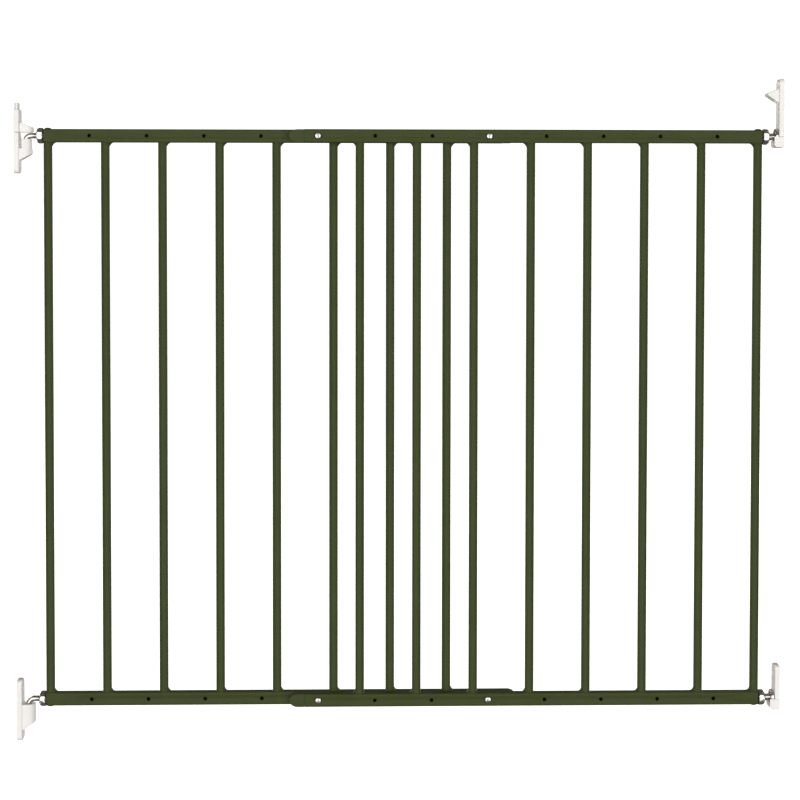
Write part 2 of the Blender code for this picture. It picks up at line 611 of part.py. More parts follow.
def upper_hinge_socket(moulding, height):
    """Make the upper hinge socket, with a waisted boss, a side window and the cap's rail."""
    seat = CAP_FOOT - CAP_SEAT
    item = hinge_socket("hinge_socket_upper", SOCKET_FLOOR + UPPER_FOOT, seat, 0, UPPER_BOSS_TOP,
                        UPPER_SLOPE, (SOCKET_FLOOR + UPPER_HOLE,), moulding, height)
    top = UPPER_BOSS_TOP + CUT
    bulge = SOCKET_FLOOR + UPPER_BULGE
    notch = [(BOSS_WAIST, top), (BOSS_WAIST, SOCKET_FLOOR + UPPER_BULGE_TOP), (BOSS_FRONT, bulge),
             (BOSS_FRONT + CUT, bulge - CUT), (BOSS_FRONT + CUT, top)]
    combine(item, prism(notch, -2 * PLATE_HALF, 2 * PLATE_HALF, "Y"), "DIFFERENCE")
    sill = SOCKET_FLOOR + WINDOW_FOOT
    side = HINGE_PLATE + WINDOW_WIDTH
    window = [(HINGE_PLATE, sill), (side, sill), (side, top), (HINGE_PLATE, top)]
    combine(item, prism(window, -2 * PLATE_HALF, -HINGE_ROD / 4, "Y"), "DIFFERENCE")
    tee = [(0, -TONGUE_RIB), (TONGUE_STANDOFF, -TONGUE_RIB), (TONGUE_STANDOFF, -TONGUE_HALF),
           (TONGUE_FRONT, -TONGUE_HALF), (TONGUE_FRONT, TONGUE_HALF), (TONGUE_STANDOFF, TONGUE_HALF),
           (TONGUE_STANDOFF, TONGUE_RIB), (0, TONGUE_RIB)]
    combine(item, prism(tee, seat - 4 * SUNK, CAP_FOOT + TONGUE_TOP, "Z"), "UNION")
    combine(item, sunk_hole(CAP_FOOT + TONGUE_HOLE, TONGUE_FRONT, TONGUE_SINK), "DIFFERENCE")


def hinge_cap(moulding, height):
    """Make the sleeve that slides on the upper socket's rail, with the jaw over the hinge bolt."""
    sleeve = rounded([(CAP_BACK, -CAP_HALF, 0), (CAP_FRONT, -CAP_HALF, CAP_EDGE),
                      (CAP_FRONT, CAP_HALF, CAP_EDGE), (CAP_BACK, CAP_HALF, 0)])
    head = CAP_FOOT + CAP_HEIGHT
    item = solid("hinge_cap", prism(sleeve, CAP_FOOT, head, "Z"), moulding, location=(0, 0, height))
    root = CAP_FOOT + JAW_ROOT
    tip = CAP_FOOT + JAW_TIP
    jaw = boss_outline(JAW_HALF, JAW_REACH - JAW_HALF, CAP_FRONT - SUNK)
    combine(item, prism(jaw, CAP_FOOT, root, "Z"), "UNION")
    fall = (root - tip) / (JAW_REACH - CAP_FRONT)
    above = [(CAP_FRONT, root), (JAW_REACH + CUT, tip - fall * CUT),
             (JAW_REACH + CUT, root + CUT), (CAP_FRONT, root + CUT)]
    combine(item, prism(above, -CAP_HALF, CAP_HALF, "Y"), "DIFFERENCE")
    front = TONGUE_FRONT + SLIDE
    back = TONGUE_STANDOFF - SLIDE
    side = TONGUE_HALF + SLIDE
    rib = TONGUE_RIB + SLIDE
    slot = [(-CUT, -rib), (back, -rib), (back, -side), (front, -side),
            (front, side), (back, side), (back, rib), (-CUT, rib)]
    combine(item, prism(slot, CAP_FOOT - CUT, head + CUT, "Z"), "DIFFERENCE")


# ---------------------------------------------------------------- lock fittings

def lock_cup(name, head, holes, moulding, height):
    """Make a wall plate with the cup that a lock bolt's flange rests in, open above and behind."""
    foot = -CUP_INSIDE - CUP_FLOOR
    outline = plate_outline(foot, head, 0, PLATE_CORNER)
    item = solid(name, wall_plate(outline, LOCK_PLATE), moulding,
                 location=(OPENING, -HALF_SPACING, height), rotation=(0, 0, math.pi))
    cup = rounded([(0, foot, 0), (CUP_FRONT, foot, CUP_ROUNDING), (CUP_FRONT, CUP_RIM, 0), (0, CUP_RIM, 0)])
    combine(item, prism(cup, PLATE_EDGE - PLATE_HALF, CUP_NEAR, "Y"), "UNION")
    lip = CUP_FRONT - CUP_LIP
    over = CUP_RIM + LOCK_FLANGE
    pocket = [(LOCK_PLATE, -CUP_INSIDE), (lip, -CUP_INSIDE), (lip, over), (LOCK_PLATE, over)]
    combine(item, prism(pocket, -2 * PLATE_HALF, CUP_INSIDE, "Y"), "DIFFERENCE")
    sill = -LOCK_SHANK / 2 - BORE_PLAY
    near = LOCK_PLATE + CUT
    far = CUP_FRONT + CUT
    slot = [(near, sill), (far, sill), (far, over), (near, over)]
    combine(item, prism(slot, -2 * PLATE_HALF, CUP_INSIDE, "Y"), "DIFFERENCE")
    for hole in holes:
        combine(item, sunk_hole(hole, LOCK_PLATE), "DIFFERENCE")
    return item


def upper_lock_cup(moulding, height):
    """Make the upper lock cup, with the catch's undercut track and its entry window."""
    item = lock_cup("lock_cup_upper", UPPER_LOCK_HEAD, (CUP_HOLE,), moulding, height)
    front = LOCK_PLATE + CUT
    neck = TRACK_NECK - TRACK_UNDERCUT / 2
    ramp = TRACK_FOOT - TRACK_RAMP
    high = WINDOW_LOW + CUT
    mouth = [(neck, TRACK_FOOT), (TRACK_NECK, TRACK_FOOT), (LOCK_PLATE, ramp),
             (front, ramp), (front, high), (neck, high)]
    combine(item, prism(mouth, -TRACK_MOUTH, TRACK_MOUTH, "Y"), "DIFFERENCE")
    undercut = [(TRACK_FLOOR, TRACK_FOOT), (TRACK_NECK, TRACK_FOOT), (TRACK_NECK, high), (TRACK_FLOOR, high)]
    combine(item, prism(undercut, -TRACK_HALF, TRACK_HALF, "Y"), "DIFFERENCE")
    window = [(TRACK_FLOOR, WINDOW_LOW), (front, WINDOW_LOW),
              (front, WINDOW_HIGH), (TRACK_FLOOR, WINDOW_HIGH)]
    combine(item, prism(window, -WINDOW_HALF, WINDOW_HALF, "Y"), "DIFFERENCE")
    combine(item, sunk_hole(UPPER_LOCK_HOLE, TRACK_FLOOR, TRACK_SINK), "DIFFERENCE")


def lock_catch(moulding, height):
    """Make the sliding catch: a hollow wedge that drops over the upper lock bolt's flange."""
    back = LOCK_PLATE + SLIDE
    wedge = rounded([(back, CATCH_FOOT, 0), (CATCH_REACH, CATCH_FOOT + CATCH_APEX, CATCH_TIP),
                     (back, CATCH_TOP, 0)])
    item = solid("lock_catch", prism(wedge, -CATCH_HALF, CATCH_HALF, "Y"), moulding,
                 location=(OPENING, -HALF_SPACING, height), rotation=(0, 0, math.pi))
    roof = CATCH_TRAVEL + LOCK_FLANGE / 2 + HOOD_CLEAR
    inner = FLANGE_FAR + HOOD_FRONT
    below = CATCH_FOOT - CUT
    hollow = [(back - CUT, below), (inner, below), (inner, roof), (back - CUT, roof)]
    side = CATCH_HALF - CATCH_WALL
    combine(item, prism(hollow, -side, side, "Y"), "DIFFERENCE")
    head = CATCH_TOP - SUNK
    shoe_front = TRACK_NECK - SLIDE
    shoe_back = TRACK_FLOOR + SLIDE
    middle = (shoe_front + shoe_back) / 2
    neck = [(middle, STEM_FOOT), (back + SUNK, STEM_FOOT), (back + SUNK, head), (middle, head)]
    combine(item, prism(neck, SLIDE - TRACK_MOUTH, TRACK_MOUTH - SLIDE, "Y"), "UNION")
    shoe = [(shoe_back, STEM_FOOT), (shoe_front, STEM_FOOT), (shoe_front, head), (shoe_back, head)]
    combine(item, prism(shoe, SLIDE - TRACK_HALF, TRACK_HALF - SLIDE, "Y"), "UNION")


def build():
    """Build the whole gate."""
    clear_scene()
    paint = finish("green_powder_coat", GREEN, 0.5, 0.0)
    green_plastic = finish("green_plastic", GREEN, 0.55, 0.0)
    zinc = finish("zinc_plate", ZINC, 0.3, 1.0)
    moulding = finish("cream_plastic", CREAM, 0.4, 0.0)

    gate = bpy.data.objects.new("gate", None)
    gate.location = (HINGE_STANDOFF, 0, 0)
    bpy.context.scene.collection.objects.link(gate)

    rear_post = HINGE_REACH
    front_post = HINGE_REACH + FRAME_WIDTH
    leaf("rear", 1, rear_post, 0, paint, green_plastic, gate)
    leaf("front", -1, front_post, -HALF_SPACING, paint, green_plastic, gate)
    for level, height in LEVELS.items():
        for number, hole in enumerate(JOIN_HOLES, 1):
            across = rear_post + FIRST_HOLE + hole * BAR_PITCH
            join_fasteners(level, number, across, height, zinc, gate)
        hinge_bolt(f"hinge_bolt_{level}", zinc, gate, height)
        lock_bolt(f"lock_bolt_{level}", zinc, gate, (front_post, -HALF_SPACING, height))
    end_hardware("hinge", 1, rear_post, 0, HINGE_ROD, zinc, paint, gate)
    end_hardware("lock", -1, front_post, -HALF_SPACING, LOCK_SHANK, zinc, paint, gate)

    lower_hinge_socket(moulding, LEVELS["lower"])
    upper_hinge_socket(moulding, LEVELS["upper"])
    hinge_cap(moulding, LEVELS["upper"])
    lock_cup("lock_cup_lower", LOWER_LOCK_HEAD, (CUP_HOLE, LOWER_LOCK_HOLE), moulding, LEVELS["lower"])
    upper_lock_cup(moulding, LEVELS["upper"])
    lock_catch(moulding, LEVELS["upper"])


build()
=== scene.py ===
"""Studio scene of an extending steel pet gate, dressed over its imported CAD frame.

Every sub-assembly is a class with its sizes as fields: the welded halves, their end plugs, the
screws that join them, the hinge and lock bolts with their adjusting nuts, and the moulded wall
fittings. Each class takes its places from the CAD nodes' boxes. Numbers times MM are millimetres.
"""

import logging
import math
import random
from collections.abc import Iterable, Sequence
from dataclasses import dataclass, field
from enum import Enum

import bmesh
import bpy
from mathutils import Matrix, Vector


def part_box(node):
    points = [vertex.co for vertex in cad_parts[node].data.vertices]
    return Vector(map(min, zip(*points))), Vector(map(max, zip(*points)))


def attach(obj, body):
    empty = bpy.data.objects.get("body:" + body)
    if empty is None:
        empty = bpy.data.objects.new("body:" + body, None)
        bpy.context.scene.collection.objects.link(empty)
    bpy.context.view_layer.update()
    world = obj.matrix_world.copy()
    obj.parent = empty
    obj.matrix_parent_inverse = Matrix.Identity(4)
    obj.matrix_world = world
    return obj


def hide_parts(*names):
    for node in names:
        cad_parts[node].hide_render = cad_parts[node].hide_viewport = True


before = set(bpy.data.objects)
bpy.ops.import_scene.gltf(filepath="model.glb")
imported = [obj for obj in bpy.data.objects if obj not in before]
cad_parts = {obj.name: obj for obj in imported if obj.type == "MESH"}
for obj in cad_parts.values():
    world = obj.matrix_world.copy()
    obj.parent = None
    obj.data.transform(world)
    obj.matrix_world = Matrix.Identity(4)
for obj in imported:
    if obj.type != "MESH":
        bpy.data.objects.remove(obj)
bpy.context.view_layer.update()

MM = 0.001
DOUBLES = 0.00001           # points closer than this are one, in metres
SHARP = 32.0                # least angle of a sharp edge, in degrees
SOFT = 80.0                 # the same for a piece that is soft all over
NOISE_LOW, NOISE_HIGH = 0.3, 0.7    # the middle of a noise's range, where most of it lies
Shape = bmesh.types.BMesh
Profile = list[tuple[float, float]]

log = logging.getLogger("pet_gate")


class Half(Enum):
    """The two welded halves, by the name that their CAD nodes start with."""

    REAR = "rear"
    FRONT = "front"

    @property
    def inward(self) -> int:
        """Return the sign of X from the half's end post towards its free end."""
        return 1 if self is Half.REAR else -1


class Level(Enum):
    """The two rails' heights, by the name that their CAD nodes end with."""

    LOWER = "lower"
    UPPER = "upper"

    @property
    def outward(self) -> int:
        """Return the sign of Z away from the bars."""
        return 1 if self is Level.UPPER else -1


class Slot(Enum):
    """The record's material slots."""

    PAINT = "green_powder_coat"
    PLUG = "green_plastic"
    ZINC = "zinc_plate"
    MOULDING = "cream_plastic"


# ---------------------------------------------------------------- materials

def srgb(code: str) -> tuple[float, float, float, float]:
    """Turn an sRGB hex colour into linear values.

    Args:
        code: six hex digits after a hash.

    Returns:
        Linear red, green and blue with an alpha of 1.
    """
    parts = [int(code[start:start + 2], 16) / 255 for start in (1, 3, 5)]
    linear = [part / 12.92 if part <= 0.04045 else ((part + 0.055) / 1.055) ** 2.4
              for part in parts]
    return linear[0], linear[1], linear[2], 1.0


def add_node(tree: bpy.types.NodeTree, kind: str, settings: dict | None = None,
             inputs: dict | None = None) -> bpy.types.Node:
    """Add one node with its settings and its inputs.

    Args:
        tree: the node tree that gets it.
        kind: the node's type name.
        settings: attribute values.
        inputs: a value or an output socket for each input, by name or number.

    Returns:
        The node.
    """
    node = tree.nodes.new(kind)
    for key, value in (settings or {}).items():
        setattr(node, key, value)
    for key, value in (inputs or {}).items():
        if isinstance(value, bpy.types.NodeSocket):
            tree.links.new(value, node.inputs[key])
        else:
            node.inputs[key].default_value = value
    return node


def new_finish(name: str, constants: dict) -> tuple[bpy.types.Material, bpy.types.NodeTree,
                                                     bpy.types.Node, bpy.types.NodeSocket]:
    """Start a material: its shader with its constant values, and object coordinates.

    Args:
        name: the finish's common name.
        constants: values set straight on the shader.

    Returns:
        The material, its tree, its shader and the coordinates.
    """
    material = bpy.data.materials.new(name)
    material.use_nodes = True
    tree = material.node_tree
    shader = tree.nodes["Principled BSDF"]
    for key, value in constants.items():
        shader.inputs[key].default_value = value
    place = add_node(tree, "ShaderNodeTexCoord").outputs["Object"]
    return material, tree, shader, place


def speckle(tree: bpy.types.NodeTree, place: bpy.types.NodeSocket, size: float, detail: float = 2.0,
            roughness: float = 0.5) -> bpy.types.NodeSocket:
    """Add a noise whose blotches are about a real size across.

    Args:
        tree: the node tree that gets it.
        place: coordinates in metres.
        size: the blotches' size in metres.
        detail: octaves of finer noise.
        roughness: how strong the finer octaves are.

    Returns:
        A value about 0.5.
    """
    return add_node(tree, "ShaderNodeTexNoise", {"noise_dimensions": "3D"},
                    {"Vector": place, "Scale": 1 / size, "Detail": detail,
                     "Roughness": roughness}).outputs["Fac"]


def spread(tree: bpy.types.NodeTree, value: bpy.types.NodeSocket, low: float,
           high: float) -> bpy.types.NodeSocket:
    """Map the middle of a noise onto the range from low to high."""
    return add_node(tree, "ShaderNodeMapRange", None,
                    {"Value": value, "From Min": NOISE_LOW, "From Max": NOISE_HIGH, "To Min": low,
                     "To Max": high}).outputs["Result"]


def blended(tree: bpy.types.NodeTree, amount: bpy.types.NodeSocket, first: str,
            second: str) -> bpy.types.NodeSocket:
    """Mix two sRGB hex colours by a noise."""
    return add_node(tree, "ShaderNodeMix", {"data_type": "RGBA"},
                    {"Factor": spread(tree, amount, 0, 1), "A": srgb(first),
                     "B": srgb(second)}).outputs["Result"]


@dataclass(frozen=True)
class PowderCoat:
    """Polyester powder coat, sprayed on welded steel tube and baked."""

    name: str = "satin_polyester_powder_coat"
    light: str = "#424B28"
    dark: str = "#3E4724"
    gloss: tuple[float, float] = (0.40, 0.50)
    peel: float = 1.6 * MM
    peel_depth: float = 0.018 * MM
    grit: float = 0.35 * MM
    grit_depth: float = 0.003 * MM

    def material(self) -> bpy.types.Material:
        """Return the paint, whose orange peel breaks up its soft highlights.

        The powder flows out into shallow waves 1 to 2 mm across, with a finer grit on top, and its
        film is a little thicker here and there, which the eye sees as a faint change of shade.
        """
        material, tree, shader, place = new_finish(
            self.name, {"IOR": 1.5, "Specular IOR Level": 0.1})
        film = speckle(tree, place, 34 * MM, 3)
        tree.links.new(blended(tree, film, self.dark, self.light), shader.inputs["Base Color"])
        tree.links.new(spread(tree, speckle(tree, place, 9 * MM), *self.gloss),
                       shader.inputs["Roughness"])
        waves = add_node(tree, "ShaderNodeBump", None,
                         {"Height": speckle(tree, place, self.peel, 1), "Distance": self.peel_depth,
                          "Strength": 1.0})
        fine = add_node(tree, "ShaderNodeBump", None,
                        {"Height": speckle(tree, place, self.grit, 2), "Distance": self.grit_depth,
                         "Strength": 1.0, "Normal": waves.outputs["Normal"]})
        tree.links.new(fine.outputs["Normal"], shader.inputs["Normal"])
        return material


@dataclass(frozen=True)
class MouldedPlastic:
    """Injection-moulded plastic with a fine spark-eroded grain."""

    name: str
    light: str
    dark: str
    sheen: float = 0.45
    gloss: tuple[float, float] = (0.36, 0.46)
    grain: float = 0.45 * MM
    grain_depth: float = 0.004 * MM
    glow: float = 0.0

    def material(self) -> bpy.types.Material:
        """Return the plastic, with its grain and the flow marks of the melt.

        The mould's eroded face leaves a grain finer than half a millimetre that softens the gloss.
        The melt leaves long pale flow marks, and thin walls let a little light through.
        """
        constants = {"IOR": 1.49, "Specular IOR Level": self.sheen}
        if self.glow:
            constants |= {"Subsurface Weight": self.glow, "Subsurface Radius": (1.0, 0.85, 0.7),
                          "Subsurface Scale": 1.2 * MM}
        material, tree, shader, place = new_finish(self.name, constants)
        drawn = add_node(tree, "ShaderNodeMapping", None,
                         {"Vector": place, "Scale": (1.0, 1.0, 0.3)})
        flow = speckle(tree, drawn.outputs["Vector"], 9 * MM, 2)
        tree.links.new(blended(tree, flow, self.dark, self.light), shader.inputs["Base Color"])
        tree.links.new(spread(tree, speckle(tree, place, 5 * MM), *self.gloss),
                       shader.inputs["Roughness"])
        grain = add_node(tree, "ShaderNodeBump", None,
                         {"Height": speckle(tree, place, self.grain, 2),
                          "Distance": self.grain_depth, "Strength": 1.0})
        tree.links.new(grain.outputs["Normal"], shader.inputs["Normal"])
        return material


@dataclass(frozen=True)
class ZincPlate:
    """Bright zinc plate on turned and cold-headed steel."""

    name: str = "bright_zinc_plate"
    light: str = "#D3D1CC"
    dark: str = "#B5B3AD"
    gloss: tuple[float, float] = (0.16, 0.30)
    bloom: float = 2.2 * MM
    grain: float = 0.25 * MM
    grain_depth: float = 0.004 * MM

    def material(self) -> bpy.types.Material:
        """Return the metal, with the cloudy bloom and the fine grain of the plating.

        Passivated zinc is a soft grey mirror with warmer, duller clouds a few millimetres across.
        """
        material, tree, shader, place = new_finish(self.name, {"Metallic": 1.0})
        cloud = speckle(tree, place, self.bloom, 3, 0.6)
        tree.links.new(blended(tree, cloud, self.dark, self.light), shader.inputs["Base Color"])
        tree.links.new(spread(tree, speckle(tree, place, self.bloom / 2, 2), *self.gloss),
                       shader.inputs["Roughness"])
        grain = add_node(tree, "ShaderNodeBump", None,
                         {"Height": speckle(tree, place, self.grain, 1),
                          "Distance": self.grain_depth, "Strength": 1.0})
        tree.links.new(grain.outputs["Normal"], shader.inputs["Normal"])
        return material


@dataclass(frozen=True)
class StudioPaper:
    """Matt white background paper under and behind the gate."""

    name: str = "white_background_paper"
    colour: str = "#FAFAFA"
    glow: float = 1.05

    def material(self) -> bpy.types.Material:
        """Return the paper, lit evenly enough that no edge of it shows."""
        material, tree, shader, place = new_finish(
            self.name, {"Roughness": 0.9, "Specular IOR Level": 0.1, "Emission Strength": self.glow,
                        "Emission Color": srgb(self.colour)})
        fibre = speckle(tree, place, 2 * MM, 2)
        tree.links.new(blended(tree, fibre, "#F7F7F7", self.colour), shader.inputs["Base Color"])
        return material


@dataclass(frozen=True)
class Finishes:
    """The finishes of the gate, made once."""

    paint: bpy.types.Material
    plug: bpy.types.Material
    zinc: bpy.types.Material
    moulding: bpy.types.Material

    @classmethod
    def make(cls) -> "Finishes":
        """Make the four finishes."""
        return cls(
            paint=PowderCoat().material(),
            plug=MouldedPlastic("olive_green_polypropylene", "#414A28", "#3D4625", 0.12).material(),
            zinc=ZincPlate().material(),
            moulding=MouldedPlastic("off_white_acetal", "#FBF9F6", "#F8F5F1", 0.35,
                                    glow=0.2).material(),
        )


# ---------------------------------------------------------------- shapes

@dataclass(frozen=True)
class Box:
    """A CAD node's box at rest."""

    low: Vector
    high: Vector

    @classmethod
    def of(cls, node: str) -> "Box":
        """Read a node's box."""
        return cls(*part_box(node))

    @property
    def centre(self) -> Vector:
        """Return the middle of the box."""
        return (self.low + self.high) / 2

    @property
    def size(self) -> Vector:
        """Return the box's three lengths."""
        return self.high - self.low


def turned(profile: Profile, steps: int = 64) -> Shape:
    """Turn a profile about Z.

    Args:
        profile: points (radius, height), in order; its ends lie on the axis or are left open.
        steps: facets round the axis.

    Returns:
        The turned skin.
    """
    shape = bmesh.new()
    verts = [shape.verts.new((radius, 0, height)) for radius, height in profile]
    edges = [shape.edges.new(pair) for pair in zip(verts, verts[1:])]
    bmesh.ops.spin(shape, geom=verts + edges, axis=(0, 0, 1), cent=(0, 0, 0), dvec=(0, 0, 0),
                   angle=2 * math.pi, steps=steps, use_merge=True)
    bmesh.ops.remove_doubles(shape, verts=shape.verts, dist=DOUBLES / 10)
    bmesh.ops.recalc_face_normals(shape, faces=shape.faces)
    return shape


def block(size: Vector, centre: Vector) -> Shape:
    """Return a plain block to be cut, bevelled or pulled into shape."""
    shape = bmesh.new()
    bmesh.ops.create_cube(shape, size=1)
    bmesh.ops.scale(shape, vec=size, verts=shape.verts)
    bmesh.ops.translate(shape, vec=centre, verts=shape.verts)
    return shape


def hexagon(across: float, low: float, high: float) -> Shape:
    """Return a hexagonal bar along Z, its corners on the X axis, from low to high."""
    shape = bmesh.new()
    radius = across / math.sqrt(3)
    bmesh.ops.create_cone(shape, cap_ends=True, segments=6, radius1=radius, radius2=radius,
                          depth=high - low)
    bmesh.ops.translate(shape, vec=(0, 0, (low + high) / 2), verts=shape.verts)
    corner = max(shape.verts, key=lambda vert: vert.co.x).co
    bmesh.ops.rotate(shape, cent=(0, 0, 0), verts=shape.verts,
                     matrix=Matrix.Rotation(-math.atan2(corner.y, corner.x), 3, "Z"))
    return shape


def moved(shape: Shape, turn: Matrix, offset: Sequence[float]) -> Shape:
    """Turn a shape about the origin, then move it.

    Args:
        shape: the shape, which is changed.
        turn: a 3 by 3 rotation.
        offset: where the origin goes.

    Returns:
        The same shape.
    """
    bmesh.ops.rotate(shape, cent=(0, 0, 0), matrix=turn, verts=shape.verts)
    bmesh.ops.translate(shape, vec=offset, verts=shape.verts)
    return shape


def joined(first: Shape, *others: Shape) -> Shape:
    """Put shapes in one, each staying a closed body of its own."""
    for other in others:
        mesh = bpy.data.meshes.new("joined")
        other.to_mesh(mesh)
        other.free()
        first.from_mesh(mesh)
        bpy.data.meshes.remove(mesh)
    return first


def bevel(shape: Shape, edges: Iterable[bmesh.types.BMEdge], width: float, segments: int) -> None:
    """Round some edges of a shape."""
    bmesh.ops.bevel(shape, geom=list(edges), offset=width, affect="EDGES", segments=segments,
                    profile=0.5, material=-1, clamp_overlap=True)


def pointing(axis: str, sign: int = 1) -> Matrix:
    """Return the rotation that takes +Z to an axis, taken backwards when sign is -1."""
    target = {"X": Vector((1, 0, 0)), "Y": Vector((0, 1, 0)), "Z": Vector((0, 0, 1))}[axis] * sign
    if target.z < -0.5:
        return Matrix.Rotation(math.pi, 3, "X")
    return Vector((0, 0, 1)).rotation_difference(target).to_matrix()


def thread(radius: float, depth: float, pitch: float, start: float, end: float) -> Shape:
    """Wind a screw thread's ridge round Z.

    Args:
        radius: the crest's radius.
        depth: the crest above the root.
        pitch: the rise in one turn.
        start: the ridge's lower end.
        end: the ridge's upper end.

    Returns:
        The ridge, closed at both ends, its root a little under the core's skin.
    """
    steps = 28                  # facets round one turn
    turns = (end - start) / pitch
    root = radius - depth
    buried = root - depth / 4
    count = max(1, round(turns * steps))
    shape = bmesh.new()
    # Each point's radius, and its place along the axis as a share of the pitch.
    tooth = [(buried, -0.46), (root, -0.4), (radius, -0.1), (radius, 0.1), (root, 0.4),
             (buried, 0.46)]
    face = shape.faces.new([shape.verts.new((reach, 0, start + share * pitch))
                            for reach, share in tooth])
    bmesh.ops.spin(shape, geom=[face, *face.verts, *face.edges], axis=(0, 0, 1), cent=(0, 0, 0),
                   dvec=(0, 0, (end - start) / count), angle=2 * math.pi * turns, steps=count,
                   use_merge=False)
    bmesh.ops.recalc_face_normals(shape, faces=shape.faces)
    return shape


def show(name: str, shape: Shape, sharp: float = SHARP) -> bpy.types.Object:
    """Make an object from a shape, smooth except over sharp edges.

    Args:
        name: the object's name.
        shape: its shape, which is freed.
        sharp: the least angle of a sharp edge, in degrees.

    Returns:
        The object, at the origin.
    """
    mesh = bpy.data.meshes.new(name)
    shape.to_mesh(mesh)
    shape.free()
    mesh.shade_smooth()
    mesh.set_sharp_from_angle(angle=math.radians(sharp))
    item = bpy.data.objects.new(name, mesh)
    bpy.context.scene.collection.objects.link(item)
    return item


def settle(item: bpy.types.Object, sharp: float = SHARP) -> None:
    """Apply an object's modifiers to its mesh.

    Args:
        item: the object.
        sharp: the least angle of a sharp edge, in degrees.
    """
    graph = bpy.context.evaluated_depsgraph_get()
    mesh = bpy.data.meshes.new_from_object(item.evaluated_get(graph))
    item.modifiers.clear()
    rough = item.data
    item.data = mesh
    bpy.data.meshes.remove(rough)
    mesh.shade_smooth()
    mesh.set_sharp_from_angle(angle=math.radians(sharp))


def carve(item: bpy.types.Object, cutter: Shape, operation: str = "DIFFERENCE",
          sharp: float = SHARP) -> None:
    """Cut an object with a shape, or keep only what lies inside it.

    Args:
        item: the object.
        cutter: the cutting shape, which is freed.
        operation: DIFFERENCE or INTERSECT.
        sharp: the least angle of a sharp edge, in degrees.
    """
    tool = show("cutter", cutter)
    cut = item.modifiers.new("Cut", "BOOLEAN")
    cut.operation = operation
    cut.solver = "EXACT"
    cut.object = tool
    settle(item, sharp)
    bpy.data.objects.remove(tool)


def soften(item: bpy.types.Object, width: float, segments: int = 2) -> None:
    """Round an object's sharp edges with a small bevel, and apply it."""
    edge = item.modifiers.new("Edge", "BEVEL")
    edge.width = width
    edge.segments = segments
    edge.limit_method = "ANGLE"
    edge.angle_limit = math.radians(SHARP)
    edge.use_clamp_overlap = True
    settle(item)


def dress(item: bpy.types.Object, finish: bpy.types.Material, slot: Slot, body: str,
          *nodes: str) -> None:
    """Give a piece its finish, the body that it rides on and the CAD nodes that it stands for.

    Args:
        item: the piece.
        finish: its material.
        slot: the record's slot of that material; not used.
        body: the CAD body that it rides on.
        nodes: the CAD nodes that it replaces.
    """
    item.data.materials.clear()
    item.data.materials.append(finish)
    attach(item, body)
    if nodes:
        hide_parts(*nodes)
    log.info("%s rides on %s and stands for %s", item.name, body, ", ".join(nodes) or "nothing")


# ---------------------------------------------------------------- welded halves

@dataclass
class WeldedBar:
    """One upright tube with its weld beads, under one skin of paint."""

    node: str
    side: int                   # sign of X of the welded side
    seed: int
    bead: float = 5.0 * MM
    foot: float = 0.45 * MM     # paint that gathers round the rest of the joint
    gap: float = 0.3 * MM       # CAD clearance between a bar's end and its rail
    sunk: float = 1.2 * MM
    sides: int = 56
    hollow: float = 0.6         # share of the bead's profile that is hollow
    grip: float = 1.3           # how closely the bead keeps to its side
    ripples: tuple[tuple[int, float], ...] = ((7, 0.07), (13, 0.05))    # waves round, height
    jitter: float = 0.015

    ROWS = (0.0, 0.06, 0.14, 0.24, 0.36, 0.5, 0.66, 0.82, 1.0)          # shares of a bead's height

    def flare(self, share: float) -> float:
        """Return how far a bead stands out at a share of its height: part hollow, part straight."""
        curve = 1 - math.sqrt(max(0.0, 1 - (1 - share) ** 2))
        return self.hollow * curve + (1 - self.hollow) * (1 - share)

    def width(self, turn: float, ripple: random.Random, phase: float) -> float:
        """Return the bead's width at an angle round the bar.

        Args:
            turn: the angle from +X.
            ripple: the bar's own random draws.
            phase: where the bead's ripples start.

        Returns:
            Its width along the rail, which is also its height.
        """
        lobe = max(0.0, math.cos(turn) * self.side) ** self.grip
        (slow, slow_height), (fast, fast_height) = self.ripples
        wave = (1 + slow_height * math.sin(slow * turn + phase)
                + fast_height * math.sin(fast * turn + 2 * phase))
        draw = ripple.uniform(1 - self.jitter, 1 + self.jitter)
        return self.foot + (self.bead - self.foot) * lobe * wave * draw

    def build(self) -> Shape:
        """Return the bar: a turned tube whose end rows are pulled out into the two beads."""
        box = Box.of(self.node)
        radius = box.size.x / 2
        rail_low = box.low.z - self.gap
        rail_high = box.high.z + self.gap
        rows = len(self.ROWS)
        last = 2 * rows + 1
        shape = turned([(radius, row) for row in range(last + 1)], self.sides)
        draws = random.Random(self.seed)
        phases = draws.uniform(0, 6), draws.uniform(0, 6)
        widths: dict[tuple[int, int], float] = {}
        for vert in shape.verts:
            row = round(vert.co.z)
            turn = math.atan2(vert.co.y, vert.co.x)
            low_end = row <= rows
            step = row if low_end else last - row
            key = int(low_end), round(turn * self.sides / (2 * math.pi))
            if key not in widths:
                widths[key] = self.width(turn, draws, phases[key[0]])
            wide = widths[key]
            share = self.ROWS[max(0, step - 1)]
            rise = -self.sunk if step == 0 else share * wide
            reach = radius + wide * self.flare(share)
            height = rail_low + rise if low_end else rail_high - rise
            vert.co = Vector((reach * math.cos(turn), reach * math.sin(turn), height))
        ends = [edge for edge in shape.edges if edge.is_boundary]
        bmesh.ops.holes_fill(shape, edges=ends, sides=self.sides)
        bmesh.ops.recalc_face_normals(shape, faces=shape.faces)
        return moved(shape, Matrix.Identity(3), (box.centre.x, box.centre.y, 0))


